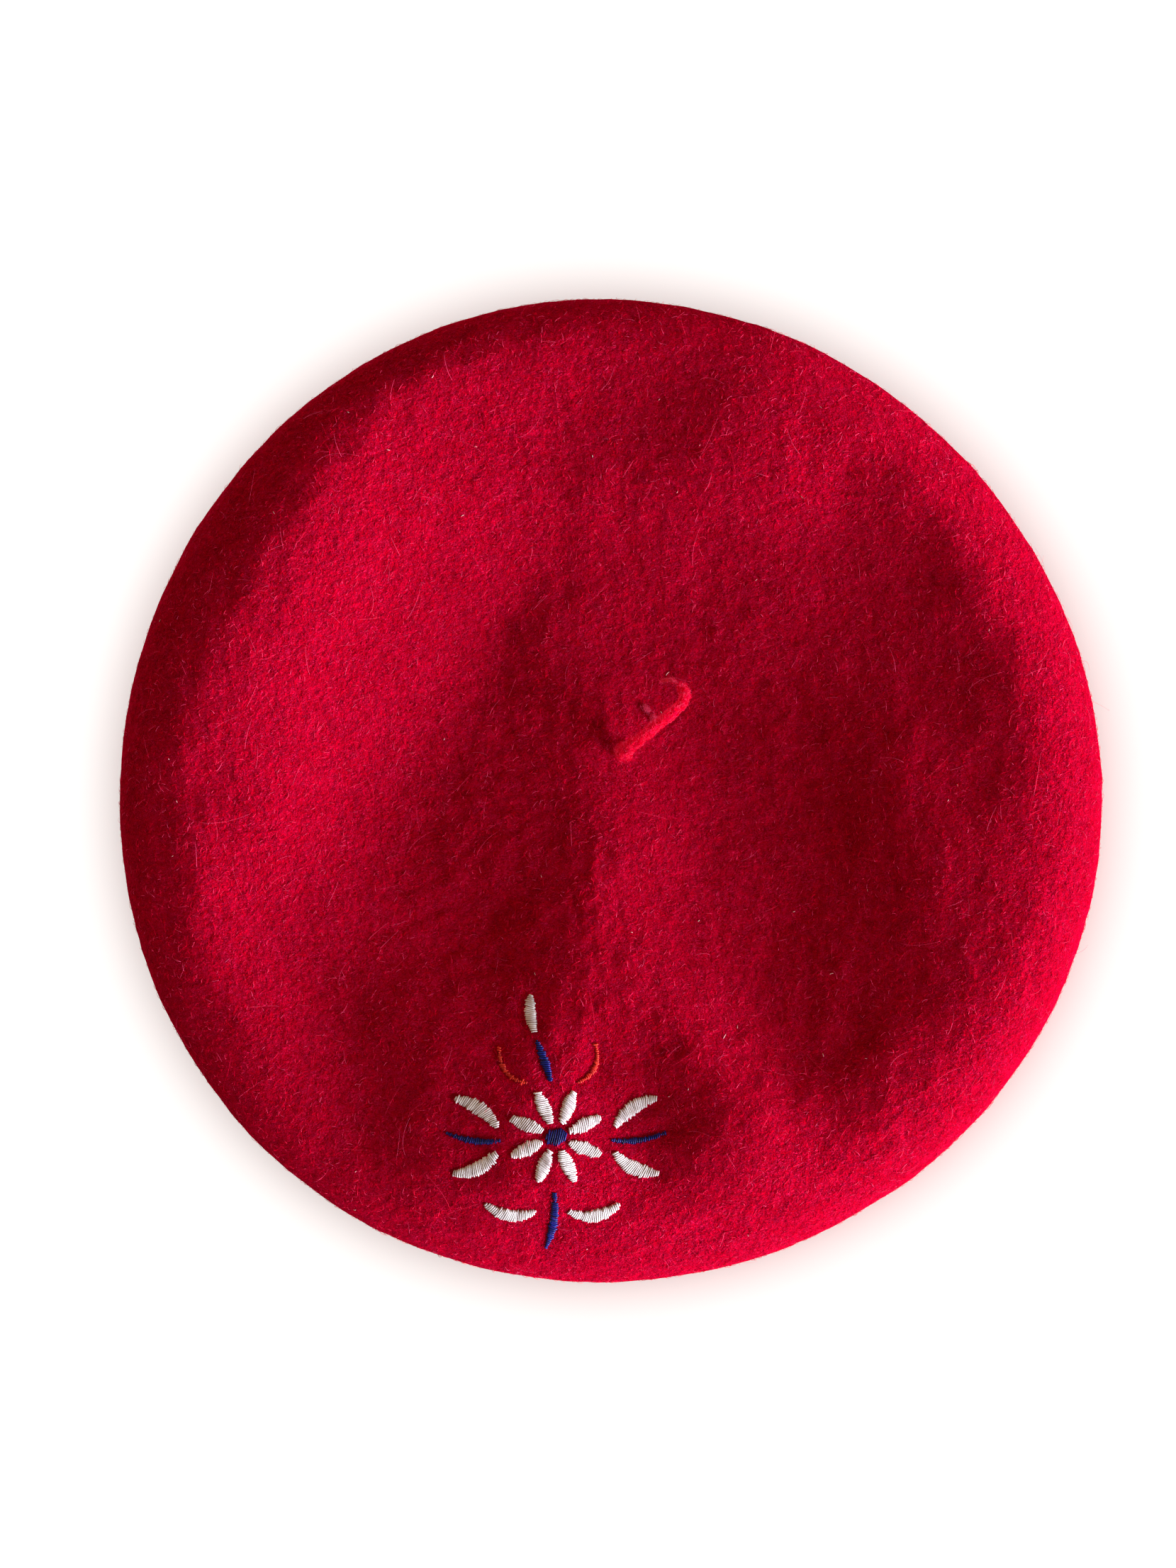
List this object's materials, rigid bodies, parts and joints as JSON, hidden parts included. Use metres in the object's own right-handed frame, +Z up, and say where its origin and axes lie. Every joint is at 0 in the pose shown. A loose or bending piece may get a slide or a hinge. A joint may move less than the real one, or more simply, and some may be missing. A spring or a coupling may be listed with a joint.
{
  "type": "beret",
  "caption": "Round felted wool beret lying crown up, with a sagging dished crown, short centre stem, inner sweatband, drawcord, blank label and a stitched flower sprig.",
  "frame": {"origin": "centre of the head opening, on the plane the beret rests on", "axes": "+Z up through the crown; -Y towards the embroidered front; +X to the right seen from above with the front nearest"},
  "size_m": [0.28, 0.28, 0.0481],
  "materials": {
    "wool_felt": "deep red felted wool with a short matted nap",
    "sewing_thread": "red sewing thread",
    "ribbon": "black ribbed ribbon",
    "cord": "black twisted cord",
    "label": "white woven satin, blank",
    "stabiliser": "white non-woven backing",
    "white_thread": "glossy white satin stitch",
    "blue_thread": "glossy blue satin stitch",
    "red_thread": "glossy red running stitch"
  },
  "bodies": {
    "hat": {"felt_body": "wool_felt", "stem_darning": "sewing_thread", "sweatband": "ribbon", "band_seam_lower": "sewing_thread", "band_seam_upper": "sewing_thread", "drawcord": "cord", "cord_knot": "cord", "embroidery_backing": "stabiliser", "petal_1": "white_thread", "petal_2": "white_thread", "petal_3": "white_thread", "petal_4": "white_thread", "petal_5": "white_thread", "petal_6": "white_thread", "petal_7": "white_thread", "petal_8": "white_thread", "leaf_left_upper": "white_thread", "leaf_left_lower": "white_thread", "leaf_right_upper": "white_thread", "leaf_right_lower": "white_thread", "leaf_base_left": "white_thread", "leaf_base_right": "white_thread", "bud": "white_thread", "flower_centre": "blue_thread", "sprig_stem": "blue_thread", "bud_stem": "blue_thread", "twig_left": "blue_thread", "twig_right": "blue_thread", "tendril_left": "red_thread", "tendril_right": "red_thread"},
    "stem": {"crown_stem": "wool_felt"},
    "tail_left": {"cord_tail_left": "cord", "cord_end_left": "cord"},
    "tail_right": {"cord_tail_right": "cord", "cord_end_right": "cord"},
    "label": {"care_label": "label"}
  },
  "joints": [
    {"name": "stem_tilt", "type": "hinge", "parent": "hat", "child": "stem", "pos_m": [0.004, 0.011, 0.02726], "axis": [-0.6293, 0.7771, 0], "range_deg": [-100, 5], "stiffness_Nm_per_rad": 0.0002},
    {"name": "tail_left_swing", "type": "hinge", "parent": "hat", "child": "tail_left", "pos_m": [0, 0.0816, 0.0072], "axis": [0, 0, 1], "range_deg": [-40, 15]},
    {"name": "tail_right_swing", "type": "hinge", "parent": "hat", "child": "tail_right", "pos_m": [0, 0.0816, 0.0072], "axis": [0, 0, 1], "range_deg": [-15, 40]},
    {"name": "label_flip", "type": "hinge", "parent": "hat", "child": "label", "pos_m": [-0.05502, 0.06557, 0.0162], "axis": [-0.766, -0.6428, 0], "range_deg": [-4, 10], "stiffness_Nm_per_rad": 0.0005}
  ]
}
